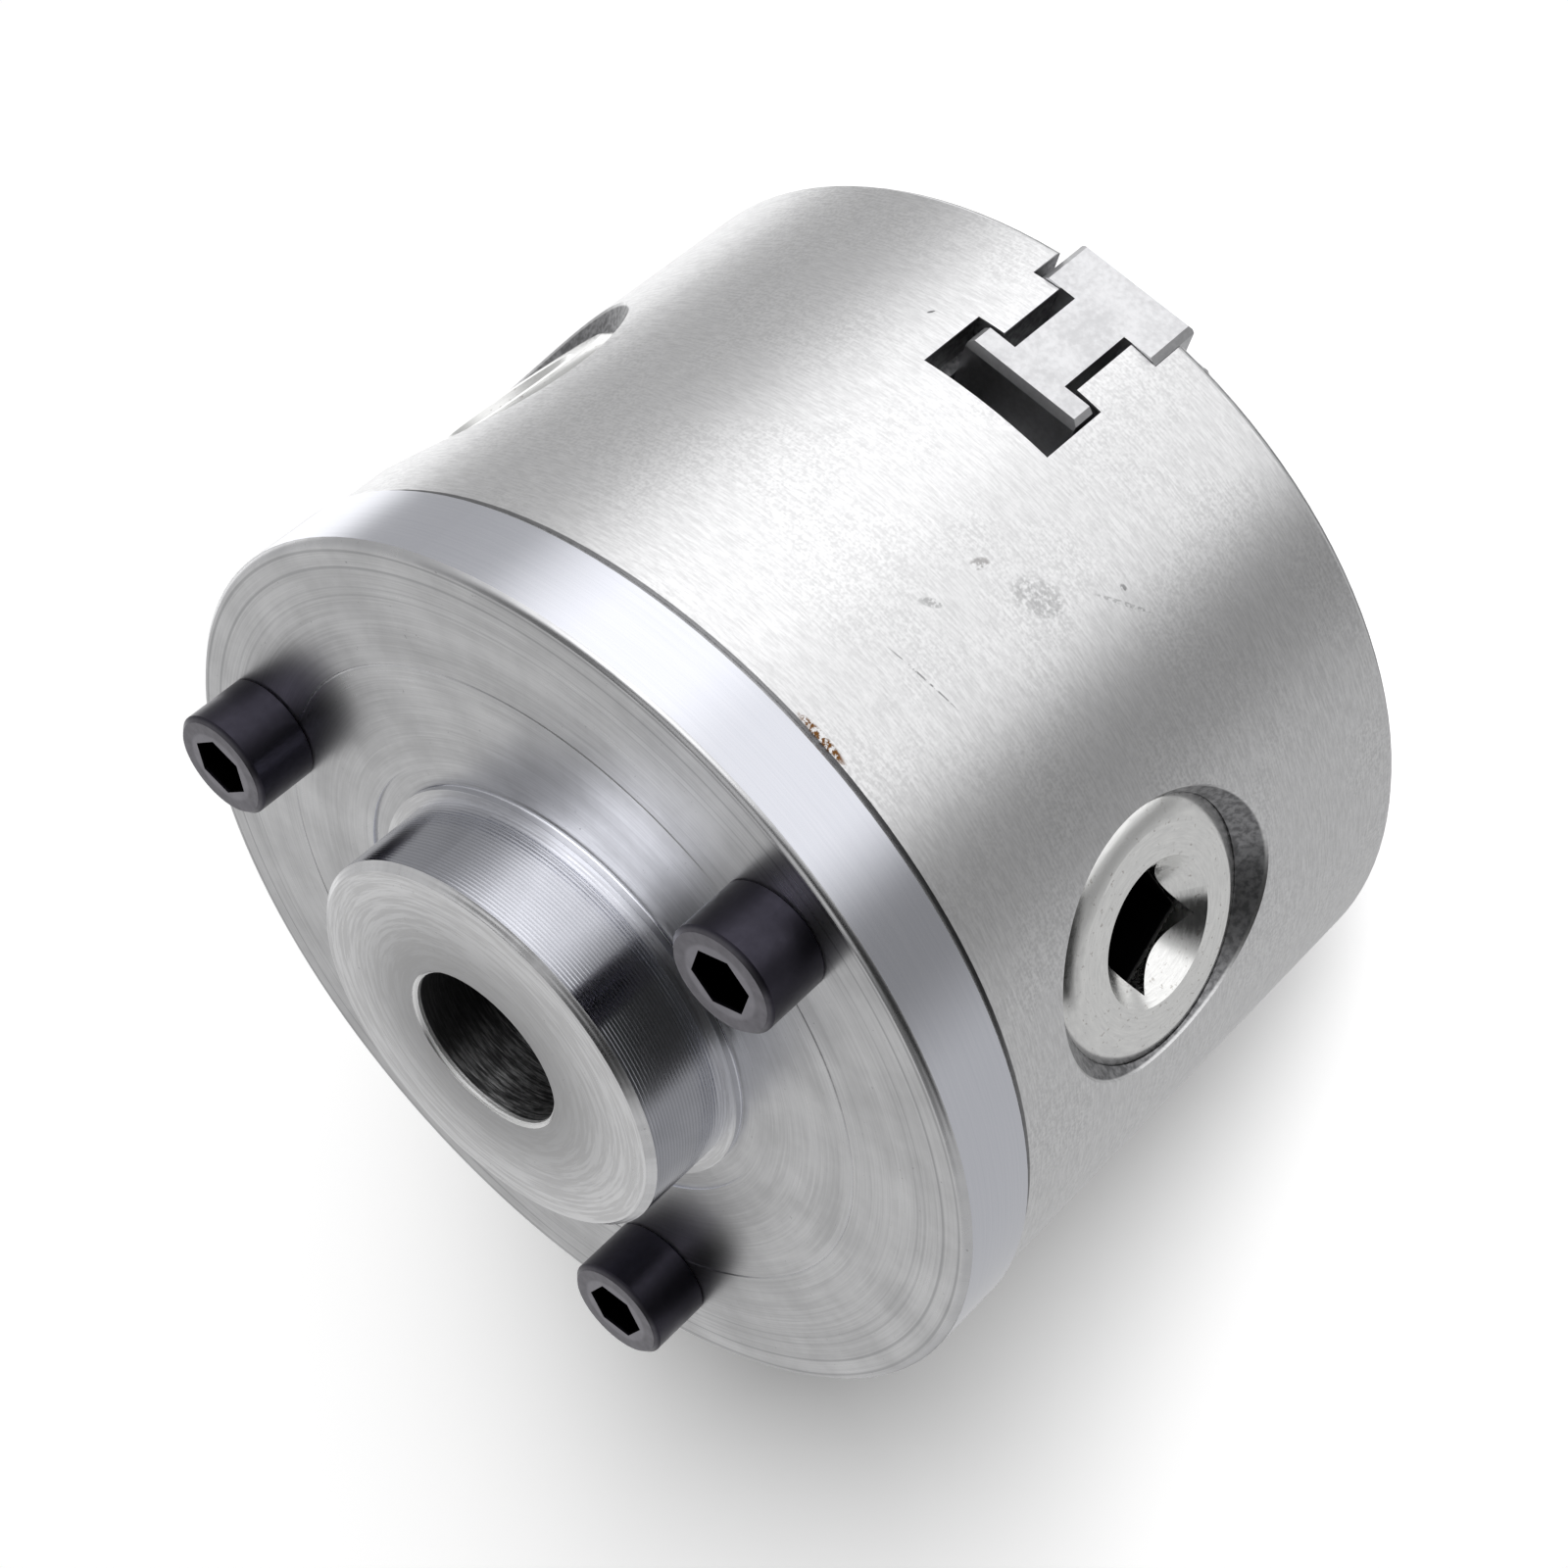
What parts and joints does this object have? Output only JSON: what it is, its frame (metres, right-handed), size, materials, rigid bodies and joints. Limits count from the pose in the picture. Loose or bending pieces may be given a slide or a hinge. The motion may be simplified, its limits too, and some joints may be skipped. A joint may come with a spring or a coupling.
{
  "type": "self-centring lathe chuck with back plate",
  "caption": "Small self-centring scroll chuck with its flanged back plate bolted on, round steel body, key pinions and stepped sliding jaws.",
  "frame": {"origin": "on the chuck axis, in the plane of the jaws' highest faces, which the chuck stands on", "axes": "+Z along the chuck axis from the jaws to the hub of the back plate; pinion_1 faces -Y, and jaw_2 faces +Y to within one degree"},
  "size_m": [0.0808, 0.0808, 0.0794],
  "materials": {
    "body_steel": "ground, satin",
    "plate_steel": "fine turned, bright",
    "hard_steel": "hardened, polished faces",
    "jaw_steel": "hardened and ground",
    "black_oxide": "black oxide, slight gloss"
  },
  "bodies": {
    "base": {"chuck_body": "body_steel", "back_plate": "plate_steel", "rear_cover": "body_steel", "mounting_screw_1": "black_oxide", "mounting_screw_2": "black_oxide", "mounting_screw_3": "black_oxide", "cover_screw_1": "black_oxide", "cover_screw_2": "black_oxide", "cover_screw_3": "black_oxide", "pinion_pin_1": "hard_steel", "pinion_pin_2": "hard_steel", "pinion_pin_3": "hard_steel"},
    "scroll": {"scroll": "hard_steel"},
    "pinion_1": {"pinion_1": "hard_steel"},
    "pinion_2": {"pinion_2": "hard_steel"},
    "pinion_3": {"pinion_3": "hard_steel"},
    "jaw_1": {"jaw_1": "jaw_steel"},
    "jaw_2": {"jaw_2": "jaw_steel"},
    "jaw_3": {"jaw_3": "jaw_steel"}
  },
  "joints": [
    {"name": "scroll_turn", "type": "hinge", "parent": "base", "child": "scroll", "pos_m": [0, 0, 0.036], "axis": [0, 0, 1], "range_deg": [-432, 288]},
    {"name": "pinion_1_turn", "type": "hinge", "parent": "base", "child": "pinion_1", "pos_m": [0, -0.03, 0.0444], "axis": [0, -1, 0], "range_deg": [-1728, 1152]},
    {"name": "pinion_2_turn", "type": "hinge", "parent": "base", "child": "pinion_2", "pos_m": [0.02598, 0.015, 0.0444], "axis": [0.866, 0.5, 0], "range_deg": [-1728, 1152]},
    {"name": "pinion_3_turn", "type": "hinge", "parent": "base", "child": "pinion_3", "pos_m": [-0.02598, 0.015, 0.0444], "axis": [-0.866, 0.5, 0], "range_deg": [-1728, 1152]},
    {"name": "jaw_1_slide", "type": "slide", "parent": "base", "child": "jaw_1", "axis": [0.8584, -0.5129, 0], "range_m": [-0.006, 0.004]},
    {"name": "jaw_2_slide", "type": "slide", "parent": "base", "child": "jaw_2", "axis": [0.015, 0.9999, 0], "range_m": [-0.006, 0.004]},
    {"name": "jaw_3_slide", "type": "slide", "parent": "base", "child": "jaw_3", "axis": [-0.8734, -0.4869, 0], "range_m": [-0.006, 0.004]}
  ],
  "couplings": [
    {"joint": "pinion_1_turn", "follows": "scroll_turn", "ratio": 4},
    {"joint": "pinion_2_turn", "follows": "scroll_turn", "ratio": 4},
    {"joint": "pinion_3_turn", "follows": "scroll_turn", "ratio": 4},
    {"joint": "jaw_1_slide", "follows": "scroll_turn", "m_per_rad": 0.00079577},
    {"joint": "jaw_2_slide", "follows": "scroll_turn", "m_per_rad": 0.00079577},
    {"joint": "jaw_3_slide", "follows": "scroll_turn", "m_per_rad": 0.00079577}
  ]
}
